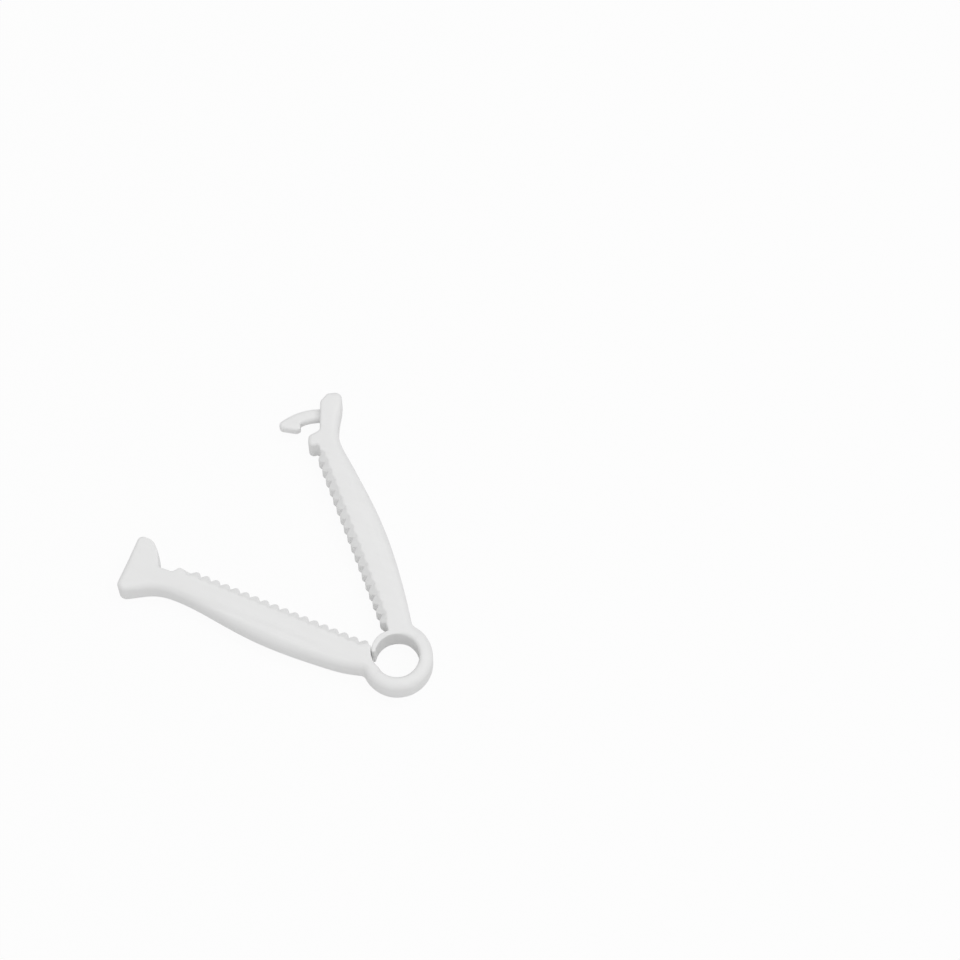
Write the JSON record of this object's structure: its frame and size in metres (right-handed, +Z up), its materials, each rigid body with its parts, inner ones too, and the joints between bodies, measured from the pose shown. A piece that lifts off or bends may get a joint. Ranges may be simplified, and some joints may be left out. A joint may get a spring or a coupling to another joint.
{
  "type": "umbilical cord clamp",
  "caption": "Plastic umbilical cord clamp lying open on its side: two toothed jaws joined by a round spring ring, with a barbed hook on one jaw and a slotted catch head on the other.",
  "frame": {"origin": "on the axis of the spring ring, in the plane that the clamp lies on", "axes": "+X from the ring along the teeth of the catch jaw, +Z up through the clamp's thickness, the hook jaw opens towards -Y"},
  "size_m": [0.0618, 0.0534, 0.0066],
  "materials": {
    "moulding": "satin white"
  },
  "bodies": {
    "catch_side": {"catch_jaw": "moulding", "spring_ring": "moulding"},
    "hook_side": {"hook_jaw": "moulding", "latch_hook": "moulding"}
  },
  "joints": [
    {"name": "jaw_closing", "type": "hinge", "parent": "catch_side", "child": "hook_side", "pos_m": [0.00116, -0.0005, 0.0033], "axis": [0, 0, 1], "range_deg": [-5, 46.6], "stiffness_Nm_per_rad": 0.1, "deforming": ["spring_ring", "latch_hook"]}
  ]
}
